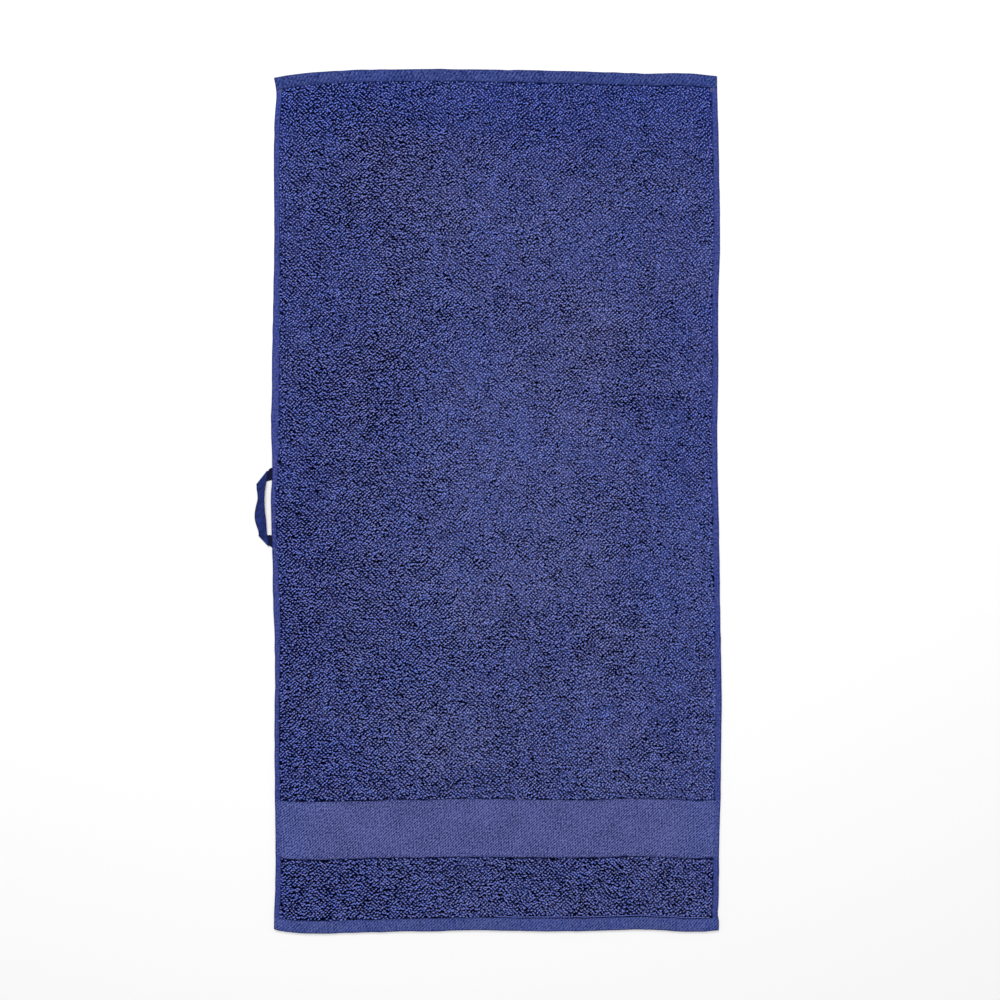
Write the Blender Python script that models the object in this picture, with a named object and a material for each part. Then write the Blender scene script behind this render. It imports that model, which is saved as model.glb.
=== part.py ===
"""A hand towel lying flat on a surface: one terry cloth with its hems, selvages and
flat woven band, and a tape loop for a hook, sewn under the middle of its left side.

Metres, +Z up. The origin is on the surface, under the middle of the towel. +Y runs
towards the plain end of the towel, and the end with the flat woven band lies at -Y.

A spot of the cloth is given in millimetres across, from the left selvage, and down,
from the plain end. The cloth is never quite square, so its four outer edges are smooth
curves, and the rest of the cloth follows them.
"""

import bmesh
import bpy
import numpy as np

MM = 0.001

# The cloth as it was cut and hemmed, in millimetres
WIDTH = 500.0
LENGTH = 968.0
SELVAGE = 6.0
TOP_HEM = 14.0
BOTTOM_HEM = 14.5
PLAIN_END_PILE = 806.0
FLAT_BAND = 65.0
BAND_TOP = TOP_HEM + PLAIN_END_PILE
BAND_BOTTOM = BAND_TOP + FLAT_BAND
BOTTOM_SEAM = LENGTH - BOTTOM_HEM

# Thicknesses, in millimetres
PILE_THICK = 4.6
END_PILE_THICK = 4.9
HEM_THICK = 2.6
SEAM_THICK = 1.9
SELVAGE_THICK = 2.0
BAND_THICK = 2.1
EDGE_THICK = 1.4

# How far an edge and a hem turn down, and how far the pile takes to stand up
EDGE_ROUND = 1.2
HEM_ROUND = 2.5
PILE_ROUND = 4.0

# Each edge against its straight line: the place along it, and how far out it lies
LEFT_EDGE = (
    (0, -0.5), (14, -2.7), (47, -1.0), (93, -0.4), (184, -0.6), (275, 1.0),
    (343, 2.0), (412, 2.7), (434, 1.6), (452, 1.5), (469, 2.5), (487, 2.8),
    (504, 2.5), (532, 1.4), (548, 1.2), (594, 0.6), (640, -1.0), (776, -1.0),
    (852, -1.9), (934, -1.3), (953, -0.5), (968, -0.6),
)
RIGHT_EDGE = (
    (0, -2.2), (26, -1.5), (72, -0.4), (140, 1.0), (208, 0.9), (253, -0.7),
    (322, -0.6), (413, -1.8), (458, -1.1), (526, 0.4), (594, 1.3), (708, 3.1),
    (776, 2.4), (821, 1.9), (867, 0.4), (912, 0.0), (940, -0.5), (950, -1.3),
    (956, -0.3), (968, -0.3),
)
TOP_EDGE = (
    (0, -8.6), (7, -7.6), (18, -5.6), (35, -3.4), (69, -1.1), (102, 0.3),
    (153, 0.9), (187, 1.1), (237, 0.3), (288, -0.3), (338, -1.5), (389, -2.9),
    (423, -4.2), (456, -3.4), (473, -4.2), (485, -5.6), (500, -7.0),
)
BOTTOM_EDGE = (
    (0, -3.4), (4, -1.8), (10, -0.5), (18, 0.6), (35, 1.6), (86, 1.2), (136, -0.2),
    (187, -0.9), (220, -1.6), (288, -0.8), (355, -0.9), (389, -2.0), (406, -2.7),
    (440, -1.6), (473, 0.0), (492, -0.9), (500, -1.6),
)

# The upper face rolls gently: each roll's height, and its length across and down
ROLLS = ((0.30, 330.0, 410.0), (0.22, 170.0, 236.0))

# Soft creases left from when the towel was folded: from across, to across, down, depth
CREASES = (
    (374.0, 480.0, 394.0, 0.9),
    (416.0, 485.0, 474.0, 0.8),
    (13.0, 243.0, 703.0, 0.9),
)
CREASE_HALF = 6.0
CREASE_FADE = 12.0

# The widest spacing of the cloth's points, across and down
STEP_ACROSS = 24.0
STEP_DOWN = 24.0

# The hanging loop: a flat woven tape, in millimetres in the towel's own frame
TAPE_THICK = 0.9
LAYER_GAP = 0.35
FOLD_STEPS = 6
TAPE_COLUMNS = 3
OFF_SURFACE = 0.03
LOWER_LAYER = OFF_SURFACE + TAPE_THICK / 2
UPPER_LAYER = LOWER_LAYER + TAPE_THICK + LAYER_GAP

# Its two edges from section to section: outer x, y, z, then inner x, y, z
UPPER_LEG = (
    (-241.8, 23.3, LOWER_LAYER, -241.8, 37.3, LOWER_LAYER),
    (-247.0, 23.1, LOWER_LAYER, -247.0, 37.2, LOWER_LAYER),
    (-253.5, 23.2, LOWER_LAYER, -252.4, 37.2, LOWER_LAYER),
    (-260.0, 21.4, LOWER_LAYER, -254.4, 35.6, LOWER_LAYER),
)
UPPER_FOLD = ((-269.3, 16.8), (-256.5, 33.2))
STANDING_LEG = (
    (-268.9, 12.6, 2.2, -258.2, 21.5, 4.4),
    (-267.8, 8.6, 2.4, -259.7, 11.0, 6.6),
    (-267.8, 1.5, 2.6, -260.1, 1.5, 7.4),
    (-269.6, -5.6, 2.2, -259.9, -5.6, 7.0),
    (-271.0, -13.0, 1.6, -259.4, -13.0, 6.2),
    (-271.1, -20.0, 1.4, -258.4, -20.0, 5.6),
    (-269.5, -26.5, 1.6, -257.9, -27.5, 5.2),
    (-267.2, -32.6, 1.9, -257.4, -37.0, 4.2),
)
LOWER_FOLD = ((-266.5, -38.2), (-256.2, -47.9))
LOWER_LEG = (
    (-253.0, -38.4, LOWER_LAYER, -252.4, -51.2, LOWER_LAYER),
    (-247.0, -38.6, LOWER_LAYER, -247.0, -51.8, LOWER_LAYER),
    (-241.8, -38.7, LOWER_LAYER, -241.8, -52.0, LOWER_LAYER),
)

# The cloth's side is lifted over the tape's sewn ends, fully between these places
SEWN_GAP = 0.43
LIFT = OFF_SURFACE + TAPE_THICK + SEWN_GAP
LIFT_TOP = 43.0
LIFT_BOTTOM = -58.0
LIFT_INNER = -238.0
LIFT_FADE = 12.0


def clear_scene():
    for item in list(bpy.data.objects):
        bpy.data.objects.remove(item)


def finish_of(name, colour, roughness):
    """A plain cloth finish, in linear colour."""
    finish = bpy.data.materials.new(name)
    finish.use_nodes = True
    shader = finish.node_tree.nodes["Principled BSDF"]
    shader.inputs["Base Color"].default_value = (*colour, 1.0)
    shader.inputs["Roughness"].default_value = roughness
    shader.inputs["Metallic"].default_value = 0.0
    return finish


def curve_through(table, places):
    """Values on a smooth curve through the table's rows of place and value."""
    knots, values = np.array(table, float).T
    slopes = np.gradient(values, knots)
    row = np.clip(np.searchsorted(knots, places) - 1, 0, len(knots) - 2)
    span = knots[row + 1] - knots[row]
    t = (places - knots[row]) / span
    start = (1 + 2 * t) * (1 - t) ** 2 * values[row]
    leave = t * (1 - t) ** 2 * span * slopes[row]
    end = t**2 * (3 - 2 * t) * values[row + 1]
    arrive = t**2 * (t - 1) * span * slopes[row + 1]
    return start + leave + end + arrive


def smooth_step(low, high, places):
    """0 at low and before it, 1 at high and after it."""
    t = np.clip((places - low) / (high - low), 0.0, 1.0)
    return t * t * (3 - 2 * t)


def seen_from_above(across, down):
    """Where spots of the cloth lie on the surface."""
    left = -WIDTH / 2 - curve_through(LEFT_EDGE, down)
    right = WIDTH / 2 + curve_through(RIGHT_EDGE, down)
    top = LENGTH / 2 + curve_through(TOP_EDGE, across)
    bottom = -LENGTH / 2 - curve_through(BOTTOM_EDGE, across)
    x = left + (right - left) * across / WIDTH
    y = top + (bottom - top) * down / LENGTH
    return x, y


def thickness(across, down):
    """The cloth's thickness, from the hems, selvages, pile and flat band."""
    places_down = (
        (0, EDGE_THICK), (EDGE_ROUND, HEM_THICK), (TOP_HEM - HEM_ROUND, HEM_THICK),
        (TOP_HEM, SEAM_THICK), (TOP_HEM + PILE_ROUND, PILE_THICK),
        (BAND_TOP - PILE_ROUND, PILE_THICK), (BAND_TOP, BAND_THICK),
        (BAND_BOTTOM, BAND_THICK), (BAND_BOTTOM + PILE_ROUND, END_PILE_THICK),
        (BOTTOM_SEAM - PILE_ROUND, END_PILE_THICK), (BOTTOM_SEAM, SEAM_THICK),
        (BOTTOM_SEAM + HEM_ROUND, HEM_THICK), (LENGTH - EDGE_ROUND, HEM_THICK),
        (LENGTH, EDGE_THICK),
    )
    from_side = np.minimum(across, WIDTH - across)
    places_in = (
        (0, EDGE_THICK), (EDGE_ROUND, SELVAGE_THICK), (SELVAGE, SELVAGE_THICK),
        (SELVAGE + PILE_ROUND, END_PILE_THICK),
    )
    along = np.interp(down, *np.array(places_down).T)
    in_from_side = np.interp(from_side, *np.array(places_in).T)
    return np.minimum(along, in_from_side)


def unevenness(across, down):
    """How far the upper face rises or falls: gentle rolls, and the creases."""
    rise = np.zeros_like(across)
    turn = 2 * np.pi
    for height, long_across, long_down in ROLLS:
        rise += height * np.sin(turn * across / long_across) * np.cos(turn * down / long_down)
    for start, end, level, depth in CREASES:
        past_start = smooth_step(start - CREASE_FADE, start + CREASE_FADE, across)
        before_end = smooth_step(end + CREASE_FADE, end - CREASE_FADE, across)
        near = 1 - smooth_step(0.0, CREASE_HALF, np.abs(down - level))
        rise -= depth * past_start * before_end * near
    # Hems, selvages and the flat band hardly roll
    return rise * smooth_step(SELVAGE_THICK, PILE_THICK, thickness(across, down))


def lift_over_tape(x, y):
    beside = smooth_step(LIFT_TOP + LIFT_FADE, LIFT_TOP, y)
    beside = beside * smooth_step(LIFT_BOTTOM - LIFT_FADE, LIFT_BOTTOM, y)
    return LIFT * beside * smooth_step(LIFT_INNER + LIFT_FADE, LIFT_INNER, x)


def spaced(marks, step):
    """The marks, with even places between them no further apart than step."""
    marks = sorted(marks)
    places = [marks[0]]
    for start, end in zip(marks, marks[1:]):
        count = int(np.ceil((end - start) / step))
        places += list(np.linspace(start, end, count + 1)[1:])
    return np.array(places)


def columns():
    side = (0.0, EDGE_ROUND, SELVAGE, SELVAGE + PILE_ROUND)
    return spaced([*side, *(WIDTH - place for place in side)], STEP_ACROSS)


def rows():
    marks = [
        0.0, EDGE_ROUND, TOP_HEM - HEM_ROUND, TOP_HEM, TOP_HEM + PILE_ROUND,
        BAND_TOP - PILE_ROUND, BAND_TOP, BAND_BOTTOM, BAND_BOTTOM + PILE_ROUND,
        BOTTOM_SEAM - PILE_ROUND, BOTTOM_SEAM, BOTTOM_SEAM + HEM_ROUND,
        LENGTH - EDGE_ROUND, LENGTH,
    ]
    for _, _, level, _ in CREASES:
        marks += [level - CREASE_HALF, level, level + CREASE_HALF]
    for level in (LIFT_TOP, LIFT_BOTTOM):
        marks.append(LENGTH / 2 - level)
    return spaced(marks, STEP_DOWN)


def cloth_mesh(mesh):
    """A closed cloth: a grid on the surface, extruded up to the cloth's thickness."""
    across, down = columns(), rows()
    cloth = bmesh.new()
    # The grid is 1 wide and 1 long, so a point's own place tells its column and row
    bmesh.ops.create_grid(cloth, x_segments=len(across) - 1, y_segments=len(down) - 1, size=0.5)
    raised = bmesh.ops.extrude_face_region(cloth, geom=cloth.faces[:], use_keep_orig=True)["geom"]
    upper = {point for point in raised if isinstance(point, bmesh.types.BMVert)}
    for point in cloth.verts:
        column = round((point.co.x + 0.5) * (len(across) - 1))
        row = round((0.5 - point.co.y) * (len(down) - 1))
        a, d = across[column:column + 1], down[row:row + 1]
        x, y = seen_from_above(a, d)
        z = lift_over_tape(x, y)
        if point in upper:
            z = z + thickness(a, d) + unevenness(a, d)
        point.co = (x[0] * MM, y[0] * MM, z[0] * MM)
    bmesh.ops.recalc_face_normals(cloth, faces=cloth.faces[:])
    cloth.to_mesh(mesh)
    cloth.free()


def half_turn(fold, bottom_up):
    """Sections of the tape round a mitre fold, from one layer to the other."""
    outer, inner = (np.array([*end, LOWER_LAYER]) for end in fold)
    along = (inner - outer) / np.linalg.norm(inner - outer)
    outward = np.cross([0.0, 0.0, 1.0], along)
    outward = -outward if outward[0] > 0 else outward
    radius = (UPPER_LAYER - LOWER_LAYER) / 2
    sections = []
    for turn in np.linspace(0.0, np.pi, FOLD_STEPS + 1):
        shift = radius * (np.sin(turn) * outward + (1 - np.cos(turn)) * np.array([0.0, 0.0, 1.0]))
        sections.append((*(outer + shift), *(inner + shift)))
    return sections if bottom_up else sections[::-1]


def tape_mesh(mesh):
    """The middle of the tape's thickness, from its upper sewn end to its lower one."""
    sections = [
        *UPPER_LEG, *half_turn(UPPER_FOLD, True), *STANDING_LEG,
        *half_turn(LOWER_FOLD, False), *LOWER_LEG,
    ]
    tape = bmesh.new()
    bmesh.ops.create_grid(tape, x_segments=TAPE_COLUMNS, y_segments=len(sections) - 1, size=0.5)
    for point in tape.verts:
        section = np.array(sections[round((point.co.y + 0.5) * (len(sections) - 1))])
        share = point.co.x + 0.5
        point.co = ((1 - share) * section[:3] + share * section[3:]) * MM
    tape.to_mesh(mesh)
    tape.free()


def add_object(name, finish):
    mesh = bpy.data.meshes.new(name)
    mesh.materials.append(finish)
    item = bpy.data.objects.new(name, mesh)
    bpy.context.scene.collection.objects.link(item)
    return item


def make_towel():
    towel = add_object("towel", finish_of("terry cotton", (0.050, 0.060, 0.190), 0.95))
    cloth_mesh(towel.data)
    towel.data.shade_smooth()
    return towel


def make_hanging_loop():
    loop = add_object("hanging_loop", finish_of("loop tape", (0.022, 0.033, 0.150), 0.85))
    tape_mesh(loop.data)
    wall = loop.modifiers.new("tape thickness", "SOLIDIFY")
    wall.thickness = TAPE_THICK * MM
    wall.offset = 0.0
    wall.use_even_offset = True
    return loop


clear_scene()
make_towel()
make_hanging_loop()
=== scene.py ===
"""A terry hand towel lying flat: the woven cloth with its hems, selvages and flat band,
the looped pile that stands on it, its sewing, and the tape loop that it hangs from.

Metres, +Z up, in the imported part's own frame. +Y is the plain end of the towel. A spot
of the cloth is given in millimetres across, from the left selvage, and down, from the
plain end.
"""

import math

import bmesh
import bpy
import numpy as np
from mathutils import Matrix


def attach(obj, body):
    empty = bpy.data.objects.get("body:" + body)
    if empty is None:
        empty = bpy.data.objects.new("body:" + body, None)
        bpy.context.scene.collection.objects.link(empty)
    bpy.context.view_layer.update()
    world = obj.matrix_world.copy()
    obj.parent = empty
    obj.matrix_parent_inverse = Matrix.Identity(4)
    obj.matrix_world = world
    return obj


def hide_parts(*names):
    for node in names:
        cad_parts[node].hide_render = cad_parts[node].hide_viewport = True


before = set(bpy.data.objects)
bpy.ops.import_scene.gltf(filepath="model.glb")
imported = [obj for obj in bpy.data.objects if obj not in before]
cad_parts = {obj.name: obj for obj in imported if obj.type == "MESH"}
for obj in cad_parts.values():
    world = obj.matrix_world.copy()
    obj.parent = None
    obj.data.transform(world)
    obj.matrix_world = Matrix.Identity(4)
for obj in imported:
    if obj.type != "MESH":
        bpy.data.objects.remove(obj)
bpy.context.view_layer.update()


# The woven cloth: one length of firm cotton weave, which the pile stands on. Both ends are
# turned under and sewn as hems, each side is a smooth selvage, and near one end the pile
# is left out for a flat twill band. Its underside carries the pile that the towel lies on.

MM = 0.001
WIDTH = 500.0
LENGTH = 968.0
SELVAGE = 6.0
# The left selvage is drawn in beside the hanging loop: the place down, and its width
LEFT_SELVAGE = (
    (0, 6.0), (180, 5.8), (264, 7.2), (331, 7.4), (399, 8.2), (440, 6.2), (470, 5.0),
    (525, 5.0), (565, 6.4), (605, 7.2), (668, 5.2), (770, 5.0), (880, 6.2), (968, 6.0),
)
TOP_HEM = 14.0
BAND_TOP = 820.0
BAND_BOTTOM = 885.0
BOTTOM_SEAM = 953.5
LINES = (TOP_HEM, BAND_TOP, BAND_BOTTOM, BOTTOM_SEAM)

# Thicknesses: a hem is HEM_CROWN thicker in its middle, and a selvage HEM_SIDE thicker in
# the hems. The selvage meets the pile, in thickness and in colour, over a short slope
HEM_THICK = 2.6
HEM_CROWN = 0.25
HEM_SIDE = 0.5
SELVAGE_THICK = 2.0
SELVAGE_SLOPE = (-1.0, 0.6)
SELVAGE_COLOURED = (-0.4, 0.6)
BAND_THICK = 2.1
GROUND_THICK = 2.2
SEAM_THICK = 1.4
BORDER_THICK = 1.6
LEAST_HALF = 0.15
# Puckers beside a seam: how high, how short across against down, and how far they reach
PUCKER = 0.16
PUCKER_SHORT = 0.3
PUCKER_REACH = 4.0
# The weave's thickness beside a seam, from the hem to the pile, and beside a border, from
# the pile to the band: how far past the line, and how thick
SEAM_STEPS = ((-2.4, HEM_THICK), (-0.8, 2.2), (0.0, SEAM_THICK), (1.4, GROUND_THICK))
BORDER_STEPS = ((-1.6, GROUND_THICK), (0.0, BORDER_THICK), (1.6, BAND_THICK))

# The pile under the towel: its relief, and how far from a selvage or a line it is full
UNDER_PILE = 0.40
FULL_FROM_SELVAGE = 4.0
FULL_FROM_LINE = 3.0
DEEPEST_CREASE = 0.8

# The mesh: its largest cell, its points in from the sides and ends, and beside each line
CELL = 5.0
LEFT_COLUMNS = np.linspace(2.0, 9.2, 10)
RIGHT_COLUMNS = (2.0, 3.5, 5.0, SELVAGE, SELVAGE + 0.8)
END_ROWS = (3.0, 5.0, 7.0, 9.0, 11.0)
LINE_ROWS = (-2.4, -1.5, -0.8, -0.3, 0.0, 0.4, 0.8, 1.5, 2.4)

# Each edge against its straight line: the place along it, and how far out it lies
LEFT_EDGE = (
    (0, -0.5), (14, -2.7), (47, -1.0), (93, -0.4), (184, -0.6), (275, 1.0),
    (343, 2.0), (412, 2.7), (434, 1.6), (452, 1.5), (469, 2.5), (487, 2.8),
    (504, 2.5), (532, 1.4), (548, 1.2), (594, 0.6), (640, -1.0), (776, -1.0),
    (852, -1.9), (934, -1.3), (953, -0.5), (968, -0.6),
)
RIGHT_EDGE = (
    (0, -2.2), (26, -1.5), (72, -0.4), (140, 1.0), (208, 0.9), (253, -0.7),
    (322, -0.6), (413, -1.8), (458, -1.1), (526, 0.4), (594, 1.3), (708, 3.1),
    (776, 2.4), (821, 1.9), (867, 0.4), (912, 0.0), (940, -0.5), (950, -1.3),
    (956, -0.3), (968, -0.3),
)
TOP_EDGE = (
    (0, -8.6), (7, -7.6), (18, -5.6), (35, -3.4), (69, -1.1), (102, 0.3),
    (153, 0.9), (187, 1.1), (237, 0.3), (288, -0.3), (338, -1.5), (389, -2.9),
    (423, -4.2), (456, -3.4), (473, -4.2), (485, -5.6), (500, -7.0),
)
BOTTOM_EDGE = (
    (0, -3.4), (4, -1.8), (10, -0.5), (18, 0.6), (35, 1.6), (86, 1.2), (136, -0.2),
    (187, -0.9), (220, -1.6), (288, -0.8), (355, -0.9), (389, -2.0), (406, -2.7),
    (440, -1.6), (473, 0.0), (492, -0.9), (500, -1.6),
)
# How far the weave strays at random besides
EDGE_WOBBLE = 0.3

# The pile rolls gently: each roll's height, and its length across and down
ROLLS = ((0.30, 330.0, 410.0), (0.22, 170.0, 236.0))

# Soft creases left from folding: from across, to across, down, depth
CREASES = (
    (374.0, 480.0, 394.0, 0.9),
    (416.0, 485.0, 474.0, 0.8),
    (13.0, 243.0, 703.0, 0.9),
)
CREASE_HALF = 6.0
CREASE_FADE = 12.0

# How unruly, how light with wear and a painted sheen, and how warm in its blue the pile is: a
# level, and what the end past the band adds to it. The painted sheen is the glow of the light
# above, brightest in the middle. Slopes add their amount, which grows from one place to the
# next, across and down. Random fields add patches: seed, size and amount
UNRULY = 0.40
UNRULY_LEFT = (0.31, 300, 80)
UNRULY_LEFT_FRINGE = (25, 60.0, 45.0)
UNRULY_END = 0.35
MOST_UNRULY_END = 1.3
UNRULY_SLOPES = (
    (-0.12, [(390, 470)], []),
    (0.15, [], [(560, 640)]),
    (-0.29, [], [(130, 20)]),
    (-0.20, [(60, 0)], [(600, 400)]),
)
UNRULY_FIELDS = ((21, 70.0, 0.20), (22, 22.0, 0.12), (26, 9.0, 0.45))
SHEEN_AND_WEAR = 0.14
SHEEN_AND_WEAR_END = -0.10
SHEEN_AND_WEAR_SLOPES = (
    (0.40, [(0, 220)], []),
    (-0.22, [(360, 490)], [(560, 400)]),
    (0.22, [(120, 260), (420, 320)], [(250, 400), (700, 560)]),
)
SHEEN_AND_WEAR_FIELDS = ((23, 45.0, 0.14), (24, 16.0, 0.05))
# The plain end has only this share of the wear and painted sheen, which returns between these
# places
PLAIN_END_SHEEN_AND_WEAR = 0.05
PLAIN_END_REACH = (40, 150)
WARM = 0.25
WARM_SLOPES = ((-0.9, [], [(100, 30)]), (-0.6, [(22, 8)], []), (-0.6, [(478, 492)], []))
WARM_FIELDS = ((28, 30.0, 0.35),)
BAND_WARM = 0.1
BAND_WARM_SLOPES = ((-0.8, [(70, 15)], []), (-0.8, [(430, 485)], []))

# Soft patches in the pile: middle across and down, half size across and down, and how
# much more unruly, light with wear and painted sheen, and warm each is. Their lightness paints
# shade too: the dark one just above the crease at 394 down is painted shade on that fold's slope
PATCHES = (
    (148, 122, 86, 78, 0.20, -0.12, 0.8),
    (100, 350, 60, 64, 0.20, -0.12, 0.5),
    (16, 508, 32, 42, 0.30, -0.30, 0.4),
    (232, 415, 62, 140, -0.13, 0.04, -0.25),
    (150, 650, 85, 190, 0.15, 0.15, -0.40),
    (392, 374, 110, 16, 0.25, -0.28, 0.4),
    (350, 300, 90, 60, 0.10, 0.0, 0.5),
    (452, 560, 50, 190, -0.05, 0.0, -0.6),
    (85, 600, 110, 90, 0.05, -0.05, 0.5),
    (184, 750, 90, 50, 0.0, 0.14, 0.3),
    (370, 638, 50, 30, 0.14, 0.0, 0.6),
    (345, 690, 55, 34, 0.0, 0.22, 0.0),
    (388, 802, 60, 24, 0.0, 0.22, -0.2),
)
PATCH_EDGE = (1.25, 0.45)
PATCH_FRINGE = (27, 28.0, 0.35)

# The left side is lifted over the hanging loop's sewn ends: how high, between which places
# in full, and how soon it fades
LIFT = 1.36
LIFT_TOP = 43.0
LIFT_BOTTOM = -58.0
LIFT_INNER = -238.0
LIFT_FADE = 12.0

# The random fields go this much further down than the cloth, for the ones drawn close
FIELD_REACH = 1.6


def smooth_step(low, high, places):
    """0 at low and before it, 1 at high and after it."""
    t = np.clip((places - low) / (high - low), 0.0, 1.0)
    return t * t * (3 - 2 * t)


def curve_through(table, places):
    """Values on a smooth curve through the table's rows of place and value."""
    knots, values = np.array(table, float).T
    slopes = np.gradient(values, knots)
    row = np.clip(np.searchsorted(knots, places) - 1, 0, len(knots) - 2)
    span = knots[row + 1] - knots[row]
    t = (places - knots[row]) / span
    start = (1 + 2 * t) * (1 - t) ** 2 * values[row]
    leave = t * (1 - t) ** 2 * span * slopes[row]
    end = t**2 * (3 - 2 * t) * values[row + 1]
    arrive = t**2 * (t - 1) * span * slopes[row + 1]
    return start + leave + end + arrive


def soft_field(seed, patch, across, down):
    """A smooth random field over the cloth, from -1 to 1, with patches of this size."""
    shape = (int(FIELD_REACH * LENGTH / patch) + 3, int(WIDTH / patch) + 3)
    knots = np.random.default_rng(seed).uniform(-1.0, 1.0, shape)
    row = np.clip(down / patch, 0, shape[0] - 1.01)
    column = np.clip(across / patch, 0, shape[1] - 1.01)
    i, j = row.astype(int), column.astype(int)
    t, s = smooth_step(0, 1, row - i), smooth_step(0, 1, column - j)
    upper = knots[i, j] * (1 - s) + knots[i, j + 1] * s
    lower = knots[i + 1, j] * (1 - s) + knots[i + 1, j + 1] * s
    return upper * (1 - t) + lower * t


def seen_from_above(across, down):
    """Where spots of the cloth lie on the surface, in millimetres."""
    left = -WIDTH / 2 - curve_through(LEFT_EDGE, down)
    right = WIDTH / 2 + curve_through(RIGHT_EDGE, down)
    top = LENGTH / 2 + curve_through(TOP_EDGE, across)
    bottom = -LENGTH / 2 - curve_through(BOTTOM_EDGE, across)
    wobble = EDGE_WOBBLE * soft_field(12, 11.0, across, down)
    x = left + (right - left) * across / WIDTH + wobble
    y = top + (bottom - top) * down / LENGTH + wobble
    return x, y


def lift_over_tape(x, y):
    beside = smooth_step(LIFT_TOP + LIFT_FADE, LIFT_TOP, y)
    beside = beside * smooth_step(LIFT_BOTTOM - LIFT_FADE, LIFT_BOTTOM, y)
    return LIFT * beside * smooth_step(LIFT_INNER + LIFT_FADE, LIFT_INNER, x)


def rolls_and_creases(across, down):
    """How far the face of the pile rises or falls."""
    rise = np.zeros_like(across)
    turn = 2 * np.pi
    for height, long_across, long_down in ROLLS:
        rise += height * np.sin(turn * across / long_across) * np.cos(turn * down / long_down)
    for start, end, level, depth in CREASES:
        past_start = smooth_step(start - CREASE_FADE, start + CREASE_FADE, across)
        before_end = smooth_step(end + CREASE_FADE, end - CREASE_FADE, across)
        near = 1 - smooth_step(0.0, CREASE_HALF, np.abs(down - level))
        rise -= depth * past_start * before_end * near
    return rise


def in_from_selvage(across, down):
    """How far a spot lies in from the nearer selvage, less than 0 on the selvage itself."""
    from_left = across - curve_through(LEFT_SELVAGE, down)
    return np.minimum(from_left, WIDTH - SELVAGE - across)


def sloped(table, across, down):
    """What the slopes of a table add up to at each spot."""
    added = np.zeros_like(across)
    for amount, over, below in table:
        share = np.full_like(across, amount)
        for start, end in over:
            share *= smooth_step(start, end, across)
        for start, end in below:
            share *= smooth_step(start, end, down)
        added += share
    return added


def uneven(table, across, down):
    """What the random fields of a table add up to at each spot."""
    return sum(amount * soft_field(seed, patch, across, down) for seed, patch, amount in table)


def patched(across, down, share):
    """What the soft patches add: a share of 0 for unruly, 1 for wear and painted sheen, and 2 for
    warm.
    """
    fringe = 1 + uneven([PATCH_FRINGE], across, down)
    added = np.zeros_like(across)
    for over, below, half_over, half_below, *shares in PATCHES:
        away = np.hypot((across - over) / half_over, (down - below) / half_below) * fringe
        added += shares[share] * smooth_step(*PATCH_EDGE, away)
    return added


def unruly(across, down):
    """How unruly the pile stands, 0 to 1: most on the left, and yet more past the band."""
    amount, start, end = UNRULY_LEFT
    fringe = across + uneven([UNRULY_LEFT_FRINGE], across, down)
    wild = UNRULY + amount * smooth_step(start, end, fringe)
    wild = wild + sloped(UNRULY_SLOPES, across, down) + patched(across, down, 0)
    wild = wild + UNRULY_END * (down > BAND_BOTTOM) + uneven(UNRULY_FIELDS, across, down)
    return np.clip(wild, 0.0, np.where(down > BAND_BOTTOM, MOST_UNRULY_END, 1.0))


def faded(across, down):
    """How light wear and a painted sheen leave the pile, 0 to 1: most in the middle, least at the
    ends.
    """
    light = SHEEN_AND_WEAR + sloped(SHEEN_AND_WEAR_SLOPES, across, down) + patched(across, down, 1)
    worn = smooth_step(*PLAIN_END_REACH, down)
    light = light * (PLAIN_END_SHEEN_AND_WEAR + (1 - PLAIN_END_SHEEN_AND_WEAR) * worn)
    light = light + SHEEN_AND_WEAR_END * (down > BAND_BOTTOM) + uneven(SHEEN_AND_WEAR_FIELDS, across, down)
    return np.clip(light, 0.0, 1.0)


def warmth(across, down):
    """How warm the blue looks, about -1 to 1: bluest at the plain end and by the selvages."""
    warm = WARM + sloped(WARM_SLOPES, across, down) + patched(across, down, 2)
    warm = warm + uneven(WARM_FIELDS, across, down)
    in_band = (down > BAND_TOP) & (down < BAND_BOTTOM)
    return np.where(in_band, BAND_WARM + sloped(BAND_WARM_SLOPES, across, down), warm)


def weave_thickness(across, down):
    """The thickness of the weave with its hems, seam grooves, selvages and flat band."""
    lines = (
        (TOP_HEM, SEAM_STEPS, 1), (BAND_TOP, BORDER_STEPS, 1),
        (BAND_BOTTOM, BORDER_STEPS, -1), (BOTTOM_SEAM, SEAM_STEPS, -1),
    )
    places = [(0.0, HEM_THICK), (LENGTH, HEM_THICK)]
    for line, steps, way in lines:
        places += [(line + way * step, thick) for step, thick in steps]
    thick = np.interp(down, *np.array(sorted(places)).T)
    from_end = np.minimum(down, LENGTH - down)
    thick += HEM_CROWN * np.sin(np.pi * np.clip(from_end / TOP_HEM, 0, 1))
    selvage = 1 - smooth_step(*SELVAGE_SLOPE, in_from_selvage(across, down))
    flat = np.minimum(thick, SELVAGE_THICK + HEM_SIDE * smooth_step(TOP_HEM, 4.0, from_end))
    thick = thick + (flat - thick) * selvage
    # Small puckers where the seams draw the cloth in
    from_seam = np.minimum(np.abs(down - TOP_HEM), np.abs(down - BOTTOM_SEAM))
    drawn = soft_field(11, 7.0, across, down * PUCKER_SHORT) * PUCKER
    return thick + drawn * np.exp(-from_seam / PUCKER_REACH)


def round_marks(radius):
    """Places from an edge in, close enough for its rounding."""
    return list(radius * (1 - np.cos(np.linspace(0, np.pi / 2, 5))))


def spaced(marks, step):
    """The marks, with even places between them no further apart than step."""
    marks = sorted(marks)
    places = [marks[0]]
    for start, end in zip(marks, marks[1:]):
        count = int(np.ceil((end - start) / step))
        places += list(np.linspace(start, end, count + 1)[1:])
    return np.array(places)


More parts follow.
